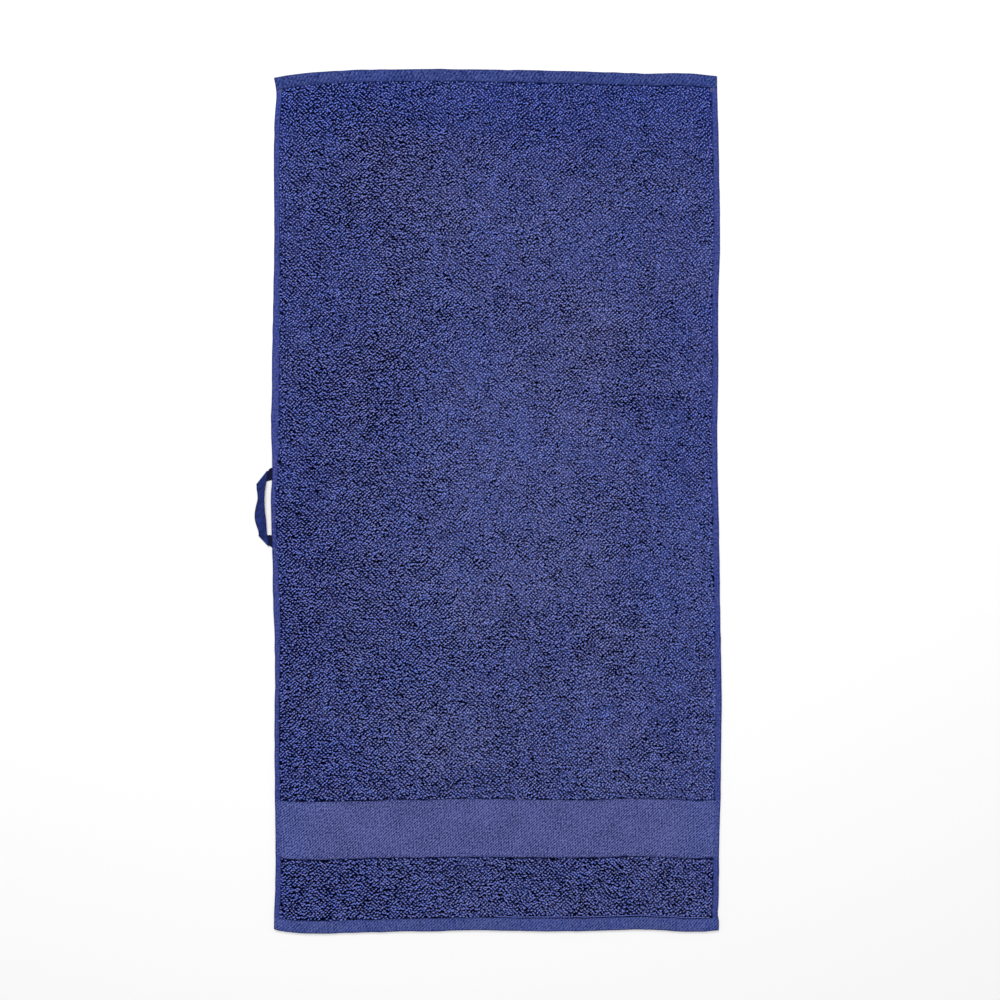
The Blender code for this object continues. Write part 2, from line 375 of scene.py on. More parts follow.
def cloth_columns():
    left = [*round_marks(SELVAGE_THICK / 2), *LEFT_COLUMNS]
    right = [*round_marks(SELVAGE_THICK / 2), *RIGHT_COLUMNS]
    return spaced([*left, *(WIDTH - place for place in right)], CELL)


def cloth_rows():
    end = [*round_marks(HEM_THICK / 2), *END_ROWS]
    marks = [*end, *(LENGTH - place for place in end)]
    for line in LINES:
        marks += [line + step for step in LINE_ROWS]
    return spaced(marks, CELL)


def cloth_heights(across, down, upper):
    """How high the upper or the lower face of the weave lies."""
    thick = weave_thickness(across, down)
    edge = np.minimum(np.minimum(across, WIDTH - across), np.minimum(down, LENGTH - down))
    half = thick / 2
    inset = np.clip(half - edge, 0.0, half)
    half_here = np.maximum(np.sqrt(half**2 - inset**2), LEAST_HALF)
    looped = smooth_step(0.0, FULL_FROM_SELVAGE, in_from_selvage(across, down))
    for line in LINES:
        looped = looped * smooth_step(0.0, FULL_FROM_LINE, np.abs(down - line))
    in_pile = (down > TOP_HEM) & (down < BOTTOM_SEAM) & ((down < BAND_TOP) | (down > BAND_BOTTOM))
    looped = looped * in_pile
    relief = np.random.default_rng(7).uniform(0.0, UNDER_PILE, across.shape) * looped
    rise = rolls_and_creases(across, down) * looped
    lower_z = half - half_here + relief
    upper_z = half + half_here + np.maximum(rise, relief - DEEPEST_CREASE)
    return np.where(upper, upper_z, lower_z)


# The map with both faces side by side: its margin, each face's width and length, how far
# apart the faces start, and how far outside a face its walls stand
MAP_MARGIN = 0.01
MAP_WIDE = 0.47
MAP_LONG = 0.98
MAP_APART = 0.51
MAP_WALL = 0.0015


def give_map(mesh, name, spots):
    """Gives a mesh a map of this name, with a spot for every corner of its faces."""
    mesh.uv_layers.new(name=name).uv.foreach_set("vector", spots.ravel())


def map_of_cloth(mesh, across, down, upper):
    """Lays the cloth out flat: one map in its own metres, one with both faces apart."""
    corners = np.empty(len(mesh.loops), int)
    mesh.loops.foreach_get("vertex_index", corners)
    a, d, up = across[corners], down[corners], upper[corners]
    give_map(mesh, "Cloth", np.column_stack((a, d)) * MM)
    # All four corners of a face are up or down, but only some of a wall's
    face = np.arange(len(corners)) // 4
    wall = np.bincount(face, up)[face] % 4 > 0
    past = MAP_WALL * (wall & ~up)
    shift_a = np.where(a <= 0, -past, np.where(a >= WIDTH, past, 0))
    shift_d = np.where(d <= 0, -past, np.where(d >= LENGTH, past, 0))
    u = MAP_MARGIN + MAP_WIDE * a / WIDTH + shift_a + MAP_APART * (~up & ~wall)
    v = MAP_MARGIN + MAP_LONG * d / LENGTH + shift_d
    give_map(mesh, "OFBake", np.column_stack((u, v)))


def give(mesh, **shares):
    """Gives each point of a mesh its share of each named attribute."""
    for name, values in shares.items():
        attribute = mesh.attributes.new(name, "FLOAT", "POINT")
        attribute.data.foreach_set("value", np.asarray(values, float).ravel())


def smooth_mesh(name, shape):
    mesh = bpy.data.meshes.new(name)
    shape.to_mesh(mesh)
    shape.free()
    mesh.shade_smooth()
    return mesh


def weave_cloth():
    """A closed cloth: a grid, extruded to a second face, both then set in place."""
    columns, rows = cloth_columns(), cloth_rows()
    cloth = bmesh.new()
    # The grid is 1 wide and 1 long, so a point's own place tells its column and row
    bmesh.ops.create_grid(cloth, x_segments=len(columns) - 1, y_segments=len(rows) - 1, size=0.5)
    raised = bmesh.ops.extrude_face_region(cloth, geom=cloth.faces[:], use_keep_orig=True)["geom"]
    for point in raised:
        if isinstance(point, bmesh.types.BMVert):
            point.co.z = 1.0
    spots = np.array([point.co for point in cloth.verts])
    across = columns[np.rint((spots[:, 0] + 0.5) * (len(columns) - 1)).astype(int)]
    down = rows[np.rint((0.5 - spots[:, 1]) * (len(rows) - 1)).astype(int)]
    upper = spots[:, 2] > 0.5
    x, y = seen_from_above(across, down)
    z = cloth_heights(across, down, upper) + lift_over_tape(x, y)
    for point, spot in zip(cloth.verts, np.column_stack((x, y, z)) * MM):
        point.co = spot
    bmesh.ops.recalc_face_normals(cloth, faces=cloth.faces[:])
    mesh = smooth_mesh("woven_cloth", cloth)
    map_of_cloth(mesh, across, down, upper)
    selvage = 1 - smooth_step(*SELVAGE_COLOURED, in_from_selvage(across, down))
    give(
        mesh, facing_up=upper, selvage=selvage, unruly=unruly(across, down),
        faded=faded(across, down), warm=warmth(across, down),
    )
    return mesh


# Blue dye, and how it varies: how far warmth goes, and its cooler and warmer tints. The pit
# colour is painted shade in open gaps between loops, the line and edge colours are painted
# shadows, and the ground goes lighter with wear and painted sheen
WARM_SHARE = 0.22
COOLER = (0.74, 0.96, 1.12)
WARMER = (1.24, 1.08, 0.86)
TINT_SPOT = 0.0021
CLOTH_TINT = 1.6
LINE_COLOUR = (0.0022, 0.0045, 0.036)
PIT_SHADE_COLOUR = (0.0006, 0.0010, 0.0075)
GROUND_COLOUR = (0.026, 0.038, 0.175)
GROUND_SHEEN_AND_WEAR = (0.110, 0.130, 0.380)
HEM_DEEP = (0.006, 0.012, 0.065)
HEM_LIGHT = (0.100, 0.130, 0.415)
BAND_DEEP = (0.012, 0.018, 0.078)
BAND_LIGHT = (0.142, 0.160, 0.440)
SELVAGE_DEEP = (0.021, 0.030, 0.150)
SELVAGE_LIGHT = (0.068, 0.084, 0.305)
EDGE_COLOUR = (0.009, 0.016, 0.125)
UNDER_DEEP = (0.006, 0.008, 0.035)
UNDER_LIGHT = (0.080, 0.095, 0.290)

# Each twill's angle and the pitch of its ridges, how far they wander, how much of the twill
# they are, and the floats that cross them. A selvage's ribs, and the weft across them
BAND_TWILL = (43.0, 2.37)
TOP_TWILL = (51.0, 3.40)
BOTTOM_TWILL = (45.0, 2.65)
TWILL_WANDER = 0.9
RIDGE_SHARE = 0.7
FLOAT_ALONG = 0.62
FLOAT_OVER = 0.5
SELVAGE_RIB = 2.1
SELVAGE_PICK = 1.1

# Sizes in metres of tufts and fibres, and the depth of the relief
TUFT = 0.0022
FIBRE = 0.0006
WEAVE_RELIEF = 0.00045

# What makes the dye and the weave uneven, and where open gaps between loops are painted in
# shade: strength, size in metres and detail
GRAIN = (2.4, 0.0021, 2.0)
CLOUD = (0.4, 0.030, 2.0)
THREADS = (1.1, 0.0012, 1.0)
GAPS = (6.0, 0.0016, 1.0)
GAPS_LONGER = 1.75
GAPS_FILLED = 0.77

# The shadow lines beside the hems and the band: half width, how they stray and break, and
# from where to where two of them come in. The edges have a shadow of their own
BORDER_SOFT = 0.6
BORDER_LINE = 0.65
LINE_FULL = 1.6
LINE_STRAYS = (4.0, 0.022, 2.0)
LINE_BREAKS = (7.0, 0.017, 2.0)
TOP_LINE_FADES = (105, 145)
BOTTOM_LINE_FADES = (290, 250)
LINE_STRENGTH = 0.85
EDGE_SHADOW = (1.3, 0.5)
EDGE_STRENGTH = 0.85


class Value:
    """A number that changes over a surface. Sums and products of it add Math nodes."""

    def __init__(self, finish, socket):
        self.finish = finish
        self.socket = socket

    def __add__(self, other):
        return self.finish.math("ADD", self, other)

    def __sub__(self, other):
        return self.finish.math("SUBTRACT", self, other)

    def __mul__(self, other):
        return self.finish.math("MULTIPLY", self, other)

    def __truediv__(self, other):
        return self.finish.math("DIVIDE", self, other)

    def __rsub__(self, other):
        return self.finish.math("SUBTRACT", other, self)

    def __rtruediv__(self, other):
        return self.finish.math("DIVIDE", other, self)

    __radd__ = __add__
    __rmul__ = __mul__

    def clamped(self):
        return self.finish.math("MINIMUM", self.finish.math("MAXIMUM", self, 0.0), 1.0)

    def wave(self):
        """From 0 to 1 and back once for each whole number."""
        return self.finish.math("SINE", self * (2 * math.pi)) * 0.5 + 0.5

    def size(self):
        return self.finish.math("ABSOLUTE", self)

    def least(self, other):
        return self.finish.math("MINIMUM", self, other)


class Finish:
    """A material and its nodes."""

    def __init__(self, name, **all_over):
        self.material = bpy.data.materials.new(name)
        self.material.use_nodes = True
        self.shader = self.material.node_tree.nodes["Principled BSDF"]
        for socket, value in all_over.items():
            self.shader.inputs[socket.replace("_", " ")].default_value = value

    def node(self, kind, settings, inputs):
        """Adds a node: its type, its settings, then its sockets' values or links."""
        node = self.material.node_tree.nodes.new(kind)
        for name, value in settings.items():
            setattr(node, name, value)
        for name, value in inputs.items():
            self.feed(node.inputs[name], value)
        return node

    def feed(self, socket, value):
        value = value.socket if isinstance(value, Value) else value
        if isinstance(value, bpy.types.NodeSocket):
            self.material.node_tree.links.new(value, socket)
        elif isinstance(value, tuple) and len(value) < len(socket.default_value):
            socket.default_value = (*value, 1.0)
        else:
            socket.default_value = value

    def math(self, operation, *values):
        node = self.node("ShaderNodeMath", {"operation": operation}, dict(enumerate(values)))
        return Value(self, node.outputs[0])

    def attribute(self, name):
        node = self.node("ShaderNodeAttribute", {"attribute_name": name}, {})
        return Value(self, node.outputs["Fac"])

    def parts(self, vector):
        node = self.node("ShaderNodeSeparateXYZ", {}, {0: vector})
        return [Value(self, socket) for socket in node.outputs]

    def own_map(self, name):
        """The two coordinates of one of the piece's own maps."""
        node = self.node("ShaderNodeUVMap", {"uv_map": name}, {})
        return self.parts(node.outputs[0])[:2]

    def spot(self):
        return self.node("ShaderNodeTexCoord", {}, {}).outputs["Object"]

    def noise(self, size, detail=2.0, longer=1.0):
        """Noise from 0 to 1, whose lumps are about this size in metres, or longer across."""
        inputs = {"Vector": self.spot(), "Scale": (1.0 / longer, 1.0, 1.0)}
        spot = self.node("ShaderNodeMapping", {}, inputs).outputs[0]
        inputs = {"Vector": spot, "Scale": 1.0 / size, "Detail": detail}
        return Value(self, self.node("ShaderNodeTexNoise", {}, inputs).outputs["Fac"])

    def uneven(self, strength, size, detail, longer=1.0):
        """Noise as much below 0 as above, and this strong."""
        return (self.noise(size, detail, longer) - 0.5) * strength

    def blend(self, share, first, second):
        """A colour that goes from the first to the second with the share."""
        settings = {"data_type": "RGBA"}
        node = self.node("ShaderNodeMix", settings, {0: share, 6: first, 7: second})
        return node.outputs[2]

    def tinted(self, colour, strength):
        """The same colour, here a little greyer and there a little bluer, as dye takes."""
        warm = self.attribute("warm") * WARM_SHARE + 0.5
        share = (self.uneven(strength, TINT_SPOT, 1.0) + warm).clamped()
        tint = self.blend(share, COOLER, WARMER)
        settings = {"data_type": "RGBA", "blend_type": "MULTIPLY"}
        return self.node("ShaderNodeMix", settings, {0: 1.0, 6: colour, 7: tint}).outputs[2]

    def finished(self, colour, height, depth):
        """The material, with its colour and with a relief this deep in metres."""
        inputs = {"Height": height, "Distance": depth, "Strength": 1.0}
        relief = self.node("ShaderNodeBump", {}, inputs).outputs[0]
        self.feed(self.shader.inputs["Base Color"], colour)
        self.feed(self.shader.inputs["Normal"], relief)
        return self.material


def inside(low, high, place):
    """1 between the two places and 0 past them, in millimetres."""
    past_low = ((place - low) / BORDER_SOFT + 0.5).clamped()
    before_high = ((high - place) / BORDER_SOFT + 0.5).clamped()
    return past_low * before_high


def fading(place, start, end):
    """Goes from 0 at the start to 1 at the end, whichever of the two lies further on."""
    return ((place - start) / (end - start)).clamped()


def twill(finish, across, down, weave):
    """Ridges that rise to the right at an angle, a pitch apart and broken by the weft."""
    angle, pitch = math.radians(weave[0]), weave[1]
    over = across * (math.sin(angle) / pitch) + down * (math.cos(angle) / pitch)
    along = across * (math.cos(angle) / pitch) - down * (math.sin(angle) / pitch)
    wander = finish.noise(0.008) * TWILL_WANDER
    ridge = (over + wander).wave()
    floats = (along * FLOAT_ALONG + over * FLOAT_OVER + finish.noise(0.004)).wave()
    return ridge * RIDGE_SHARE + floats * (1 - RIDGE_SHARE)


def gap_fluff_or_shade(finish):
    """1 where fluff fills the gaps between loops, 0 where a gap is open and painted in shade."""
    filled = finish.uneven(*GAPS, longer=GAPS_LONGER) + GAPS_FILLED
    return (filled - finish.attribute("unruly")).clamped()


def dark_line(down, level, wander, broken):
    """The narrow shadow where the pile meets a hem or the band, wavy and broken."""
    away = (down + wander - level).size()
    return (LINE_FULL - away / BORDER_LINE).clamped() * broken


def cloth_finish():
    finish = Finish("terry weave", Roughness=0.9, Specular_IOR_Level=0.0)
    u, v = finish.own_map("Cloth")
    across, down = u * 1000, v * 1000
    side = across.least(WIDTH - across)
    end = down.least(LENGTH - down)
    selvage = finish.attribute("selvage")
    top_hem = inside(-1.0, TOP_HEM, down)
    bottom_hem = inside(BOTTOM_SEAM, LENGTH + 1, down)
    hem = top_hem + bottom_hem
    band = inside(BAND_TOP, BAND_BOTTOM, down) * (1 - selvage * 0.6)
    edge = fading(side.least(end), *EDGE_SHADOW)
    upper = finish.attribute("facing_up")

    top_ridge = twill(finish, across, down, TOP_TWILL)
    bottom_ridge = twill(finish, across, down, BOTTOM_TWILL)
    hem_ridge = top_ridge * top_hem + bottom_ridge * bottom_hem
    band_ridge = twill(finish, across, down, BAND_TWILL)
    ribs = (side / SELVAGE_RIB).wave() * 0.35 + (down / SELVAGE_PICK).wave() * 0.2 + 0.2
    tufts = finish.noise(TUFT, 3.0)
    grain = finish.uneven(*GRAIN)
    cloud = finish.uneven(*CLOUD)

    under = finish.blend((tufts * 2.4 - 0.7).clamped(), UNDER_DEEP, UNDER_LIGHT)
    # The ground between loops goes lighter with wear and painted sheen
    fluff = finish.blend(finish.attribute("faded"), GROUND_COLOUR, GROUND_SHEEN_AND_WEAR)
    # Open gaps between the loops are painted in shade, more where the pile is unruly
    ground = finish.blend(gap_fluff_or_shade(finish), PIT_SHADE_COLOUR, fluff)
    colour = finish.blend(upper, under, ground)
    # The twill shows more on the banded end's hem, which is also a little lighter
    hem_share = hem_ridge * (bottom_hem * 0.30 + 0.42) + bottom_hem * 0.05 + 0.12
    hem_share = hem_share + cloud * 0.7 + grain * 0.45 + finish.uneven(*THREADS)
    weaves = (
        (selvage, ribs + cloud + grain * 1.5, SELVAGE_DEEP, SELVAGE_LIGHT),
        (band, band_ridge + cloud + grain, BAND_DEEP, BAND_LIGHT),
        (hem.clamped(), hem_share, HEM_DEEP, HEM_LIGHT),
    )
    for where, share, deep, light in weaves:
        colour = finish.blend(where, colour, finish.blend(share.clamped(), deep, light))
    wander = finish.uneven(*LINE_STRAYS)
    broken = (finish.uneven(*LINE_BREAKS) + 0.8).clamped() * (1 - selvage)
    lines = (
        (TOP_HEM + 0.4, fading(across, *TOP_LINE_FADES)),
        (BAND_TOP - 0.3, 1.0),
        (BAND_BOTTOM + 0.3, 1.0),
        (BOTTOM_SEAM - 0.4, fading(across, *BOTTOM_LINE_FADES) * 0.6 + 0.2),
    )
    for level, strength in lines:
        line = dark_line(down, level, wander, broken) * strength
        colour = finish.blend(line * upper * LINE_STRENGTH, colour, LINE_COLOUR)
    colour = finish.blend(edge * EDGE_STRENGTH, colour, EDGE_COLOUR)

    height = hem_ridge + band_ridge * band + ribs * selvage * (1 - hem) * 0.6
    fibres = finish.noise(FIBRE, 2.0) * 0.35
    looped = (1 - hem - band - selvage).clamped()
    height = height * (1 - looped) + tufts * looped * 2.0 + fibres
    return finish.finished(finish.tinted(colour, CLOTH_TINT), height, WEAVE_RELIEF)


def put_in_scene(name, data):
    thing = bpy.data.objects.new(name, data)
    bpy.context.scene.collection.objects.link(thing)
    return thing


def add_piece(name, mesh, material):
    """Puts a mesh in the scene as a piece of the towel."""
    mesh.materials.append(material)
    piece = put_in_scene(name, mesh)
    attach(piece, "root")
    return piece


cloth = add_piece("woven_cloth", weave_cloth(), cloth_finish())
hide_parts("towel")


# The pile: thousands of loops of soft, low-twist cotton yarn, woven into the ground in
# close rows. Washing has turned each its own way, so they lie in swirls, and stand thicker
# near the left side and at the banded end than in the worn middle. Near the left and at the
# banded end more gaps between them are painted dark as shade, and the middle is painted
# lighter with a sheen as well as wear.

MAIN_PILE = (TOP_HEM + 1.6, BAND_TOP - 2.0)
END_PILE = (BAND_BOTTOM + 2.0, BOTTOM_SEAM - 1.9)
PILE_PIECES = 4
# The rows are staggered, so the nearest loops stand 3 mm apart on the diagonals
LOOP_COLUMN = 4.3
LOOP_ROW = 2.13
LOOP_JITTER = 0.48
LOOP_WANDER = 1.1
FROM_SELVAGE = 1.0
PAST_SIDE = 0.5
PAST_END = 0.7
RAGGED = 1.0

# A loop is a spindle of yarn, bent over so that its ridge is on top and its ends go down
# into the weave. The ranges and spreads are how much one loop differs from the next
LOOP_SIDES = 3
LOOP_STATIONS = 4
LOOP_SPAN = 4.6
SPAN_RANGE = (0.75, 1.15)
YARN_WIDE = 1.0
WIDE_RANGE = (0.85, 1.15)
WIDER_WORN = 0.14
YARN_DEEP = 0.85
CROWN = 2.05
CROWN_RANGE = (0.64, 1.15)
TALLER_UNRULY = 0.14
CROWN_FIELD = (33, 8.0, 0.10)
ROOT_DEPTH = 0.5
ARCH = 2.4
LEAN_SPREAD = 0.4
BEND_SPREAD = 0.5
BAKE_MARGIN = 0.08

# Which way the loops turn: close and broad swirls, and at the banded end a lean to one side
CLOSE_SWIRL = (31, 5.5, 2.4)
BROAD_SWIRL = (32, 45.0, 0.7)
SWIRL_SHARP = 2.0
LOOP_TURN = 0.968
UNRULY_LESS = 0.44
TURN_SPREAD = 0.25
END_TURN = -0.2

# A seam's ends are sewn back and forth, which holds the pile down: from across, to across,
# down, rows of stitches, and how far the rows lie apart
TACKS = (
    (491.6, 497.4, 14.6, 5, 0.85), (2.4, 7.4, 14.6, 3, 0.95), (481.0, 490.4, 951.6, 2, 0.8)
)
# The hem's seam also shows as a line of thread along the pile: from across, to across, down
SEAM_SHOWS = (250.0, 484.0, 951.8)
# How far the pile keeps from tacks, to each side, above and below, and from that line
TACK_CLEAR = (0.8, 1.5, 0.6)
SEAM_CLEAR = 1.3

# The yarn's colours: painted shade low on a loop and in open gaps, its own blue on the sides, and
# a painted highlight on the crown. The sides and crown go lighter with wear and painted sheen
YARN_ROOT_SHADE = (0.0012, 0.0020, 0.0135)
YARN_BODY_COLOUR = (0.078, 0.102, 0.390)
YARN_BODY_SHEEN_AND_WEAR = (0.135, 0.160, 0.460)
CROWN_HIGHLIGHT = (0.190, 0.238, 0.765)
CROWN_HIGHLIGHT_SHEEN_AND_WEAR = (0.254, 0.296, 0.728)
SHADE_SPREAD = 0.14
PILE_TINT = 3.6
YARN_FLUFF = 0.0013
YARN_FIBRE = 0.0005
YARN_RELIEF = 0.00022


def spindle(sides, stations):
    """A closed shape lying along X, 1 long each way: its points, triangles and map."""
    shape = bmesh.new()
    shape.loops.layers.uv.new("Yarn")
    bmesh.ops.create_uvsphere(
        shape, u_segments=sides, v_segments=stations, radius=1.0, calc_uvs=True
    )
    upright = Matrix.Rotation(-math.pi / 2, 3, "Y")
    bmesh.ops.rotate(shape, verts=shape.verts[:], matrix=upright)
    bmesh.ops.triangulate(shape, faces=shape.faces[:])
    shape.verts.index_update()
    chart = shape.loops.layers.uv["Yarn"]
    points = np.array([point.co for point in shape.verts])
    faces = np.array([[corner.vert.index for corner in face.loops] for face in shape.faces])
    spots = np.array([[corner[chart].uv for corner in face.loops] for face in shape.faces])
    shape.free()
    return points, faces, spots


def mesh_of_copies(name, points, faces):
    """One mesh of many copies of a shape, from every copy's points in millimetres."""
    first = np.arange(len(points))[:, None, None] * points.shape[1]
    mesh = bpy.data.meshes.new(name)
    mesh.from_pydata(points.reshape(-1, 3) * MM, [], (faces + first).reshape(-1, 3))
    mesh.shade_smooth()
    return mesh


def give_copies(mesh, count, **shares):
    """Gives all the points of a copy, this many, that copy's share of each attribute."""
    give(mesh, **{name: np.repeat(values, count) for name, values in shares.items()})


def loop_places(down_from, down_to, draw):
    """Where the loops of a stretch of pile stand in their staggered rows, across and down."""
    columns = np.arange(SELVAGE / 2, WIDTH - SELVAGE - FROM_SELVAGE, LOOP_COLUMN)
    rows = np.linspace(down_from, down_to, int((down_to - down_from) / LOOP_ROW) + 1)
    across, down = np.meshgrid(columns, rows)
    across[1::2] += LOOP_COLUMN / 2
    across, down = across.ravel(), down.ravel()
    astray_across = soft_field(34, 16.0, across, down) * LOOP_WANDER
    astray_down = soft_field(35, 16.0, across, down) * LOOP_WANDER
    across = across + astray_across + draw.uniform(-1, 1, across.shape) * LOOP_JITTER
    down = down + astray_down + draw.uniform(-1, 1, down.shape) * LOOP_JITTER
    ragged = RAGGED * soft_field(36, 5.0, across, down)
    keep = in_from_selvage(across, down) > FROM_SELVAGE - PAST_SIDE + ragged
    keep &= (down > down_from - PAST_END + ragged) & (down < down_to + PAST_END - ragged)
    start, end, level = SEAM_SHOWS
    keep &= ~((across > start) & (across < end) & (down > level - SEAM_CLEAR))
    beside, above, below = TACK_CLEAR
    for start, end, level, rows, pitch in TACKS:
        in_length = (across > start - beside) & (across < end + beside)
        keep &= ~(in_length & (down > level - above) & (down < level + rows * pitch + below))
    return across[keep], down[keep]


def bent_loops(template, across, down, draw):
    """The points of every loop, bent over and turned its own way, in millimetres."""
    count = len(across)
    wild = unruly(across, down)
    swirl = uneven([CLOSE_SWIRL], across, down * FIELD_REACH)
    swirl = swirl + uneven([BROAD_SWIRL], across, down)
    yaw = np.tanh(swirl * SWIRL_SHARP) * (LOOP_TURN - UNRULY_LESS * wild)
    yaw = yaw + draw.normal(0.0, TURN_SPREAD, count) + END_TURN * (down > BAND_BOTTOM)
    span = LOOP_SPAN * draw.uniform(*SPAN_RANGE, count)
    wide = YARN_WIDE * draw.uniform(*WIDE_RANGE, count) * (1 + WIDER_WORN * faded(across, down))
    crown = CROWN * draw.uniform(*CROWN_RANGE, count) * (1 + TALLER_UNRULY * wild)
    crown = crown * (1 + uneven([CROWN_FIELD], across, down))
    lean = draw.normal(0.0, LEAN_SPREAD, count)
    bend = draw.normal(0.0, BEND_SPREAD, count)
    x, y = seen_from_above(across, down)
    ground = GROUND_THICK - ROOT_DEPTH + rolls_and_creases(across, down) + lift_over_tape(x, y)

    # From here on a row is a loop, and a column one of its points
    loops = np.array((x, y, ground, yaw, span / 2, wide, bend + lean, ROOT_DEPTH + crown))
    x, y, ground, yaw, reach, wide, aside, height = loops[:, :, None]
    along, over, up = template.T
    arch = 1 - np.abs(along) ** ARCH
    length = along * reach
    breadth = over * wide + aside * arch
    points = np.empty((count, len(template), 3))
    points[..., 0] = x + length * np.cos(yaw) - breadth * np.sin(yaw)
    points[..., 1] = y + length * np.sin(yaw) + breadth * np.cos(yaw)
    points[..., 2] = ground + height * arch + up * YARN_DEEP
    return points, crown


def loops_mesh(name, across, down, draw):
    """A stretch of pile: every loop a closed shape, joined in one mesh."""
    template, faces, chart = spindle(LOOP_SIDES, LOOP_STATIONS)
    points, crown = bent_loops(template, across, down, draw)
    mesh = mesh_of_copies(name, points, faces)

    # The yarn's own map: round it, each loop some whole turns further on, and along it
    count = len(across)
    turns = np.rint(draw.uniform(0, 50, (count, 1, 1, 2)) * (1, 0))
    give_map(mesh, "Yarn", chart + turns)
    # The map for baking: each loop in a square of its own
    cells = math.ceil(math.sqrt(count))
    number = np.arange(count)[:, None, None]
    corner = np.stack(np.broadcast_arrays(number % cells, number // cells), axis=-1)
    in_square = BAKE_MARGIN + (1 - 2 * BAKE_MARGIN) * chart
    give_map(mesh, "OFBake", (corner + in_square) / cells)

    # How high each point stands, 0 at the roots, by which the material paints shade low on each
    # loop and a highlight on its crown, and each loop's wear and painted sheen and how unruly it
    # is
    along, over, up = template.T
    on_ridge = np.clip(up / np.maximum(np.hypot(over, up), 0.01), -0.5, 1.0)
    rise = (1 - along**4) * (0.6 + 0.4 * on_ridge)
    give(mesh, tip=rise * (crown / CROWN)[:, None])
    light = np.clip(faded(across, down) + draw.normal(0.0, SHADE_SPREAD, count), 0, 1)
    wild, warm = unruly(across, down), warmth(across, down)
    give_copies(mesh, len(template), faded=light, unruly=wild, warm=warm)
    return mesh


def pile_finish():
    finish = Finish("terry pile", Roughness=0.95, Specular_IOR_Level=0.0)
    # worn is each loop's share of wear and painted sheen, tip how high each point stands
    tip, worn = finish.attribute("tip"), finish.attribute("faded")
    round_yarn, along = finish.own_map("Yarn")
    fluff = finish.noise(YARN_FLUFF, 2.0) - 0.5
    ply = (round_yarn + along * 2).wave() - 0.5
    side = finish.blend(worn, YARN_BODY_COLOUR, YARN_BODY_SHEEN_AND_WEAR)
    # Painted shade low on each loop and in the open gaps
    deep = finish.blend(gap_fluff_or_shade(finish), YARN_ROOT_SHADE, side)
    out_of_gap = (tip * 5.0 - 2.15 + fluff * 1.4 + ply * 1.8).clamped()
    body = finish.blend(out_of_gap, deep, side)
    # A painted highlight on each loop's crown
    light = finish.blend(worn, CROWN_HIGHLIGHT, CROWN_HIGHLIGHT_SHEEN_AND_WEAR)
    on_crown = ((tip - 0.60) * 3.0 + fluff * 2.0 + ply * 1.8).clamped()
    colour = finish.tinted(finish.blend(on_crown, body, light), PILE_TINT)
    twist = (round_yarn * 2 + along * 5).wave()
    height = twist * 0.6 + finish.noise(YARN_FIBRE, 2.0) * 0.8
    return finish.finished(colour, height, YARN_RELIEF)


draw = np.random.default_rng(100)
places = np.stack(loop_places(*MAIN_PILE, draw))
parts = np.array_split(places, PILE_PIECES, axis=1)
stretches = {f"pile_{number}": part for number, part in enumerate(parts, 1)}
stretches["end_pile"] = loop_places(*END_PILE, draw)
pile_material = pile_finish()
pile = [
    add_piece(name, loops_mesh(name, *part, draw), pile_material)
    for name, part in stretches.items()
]


# The sewing: spun polyester thread in the cloth's blue. A straight row of stitches holds
# each hem down, sewn back and forth at its ends, and short rows hold the loop's two ends
# under the selvage.

STITCH = 3.0
STITCH_GAP = 0.35
STITCH_SIDES = 5
STITCH_STATIONS = 6
# How far a stitch lies above the weave, and how far its ends go down
STITCH_RISE = 0.10
STITCH_DIVE = 0.45
THREAD = 0.26
HEM_STITCH_IN = 1.1
SEAM_FROM_SIDE = 2
SEAM_WANDER = 0.3
# The thread that shows along the pile, and by how much its stitches overlap
SEAM_THREAD = 0.62
SEAM_OVERLAP = 1.15
# The thread of a tack, how far its rows bend, and how far their middles lie apart
TACK_THREAD = 0.42
TACK_BEND = 0.3
TACK_SHIFT = 0.5
# The rows that hold the loop's upper end and its lower end, each across the selvage
LOOP_END_ROWS = (448.5, 459.5, 525.0, 535.2, 543.6)
LOOP_END_SEWN = (0.9, 6.6)
THREAD_DEEP = (0.030, 0.045, 0.190)
THREAD_LIGHT = (0.080, 0.105, 0.360)
SEAM_DEEP = (0.100, 0.130, 0.440)
SEAM_LIGHT = (0.190, 0.240, 0.760)
TACK_DEEP = (0.080, 0.090, 0.270)
TACK_LIGHT = (0.190, 0.200, 0.450)
THREAD_PLY = 0.0007
THREAD_RELIEF = 0.0001


def two_stitches(start, middle, end, down):
    """A short row of two stitches, bent a little where they meet."""
    return [
        (start, down, middle, down + TACK_BEND, TACK_THREAD),
        (middle, down + TACK_BEND, end, down, TACK_THREAD),
    ]


def stitch_rows():
    """Each stitch's start and end, across and down, and its thread's half thickness."""
    rows = []
    count = int((WIDTH - 2 * SEAM_FROM_SIDE) / STITCH)
    for line in (TOP_HEM - HEM_STITCH_IN, BOTTOM_SEAM + HEM_STITCH_IN):
        for number in range(count):
            across = SEAM_FROM_SIDE + number * STITCH
            rows.append((across, line, across + STITCH, line, THREAD))
    for start, end, level, count, pitch in TACKS:
        for row in range(count):
            middle = (start + end) / 2 + TACK_SHIFT * (-1) ** row
            rows += two_stitches(start, middle, end, level + row * pitch)
    start, end, level = SEAM_SHOWS
    for across in np.arange(start, end, STITCH):
        rows.append((across, level, across + SEAM_OVERLAP * STITCH, level, SEAM_THREAD))
    start, end = LOOP_END_SEWN
    for down in LOOP_END_ROWS:
        rows += two_stitches(start, (start + end) / 2, end, down)
    return np.array(rows)


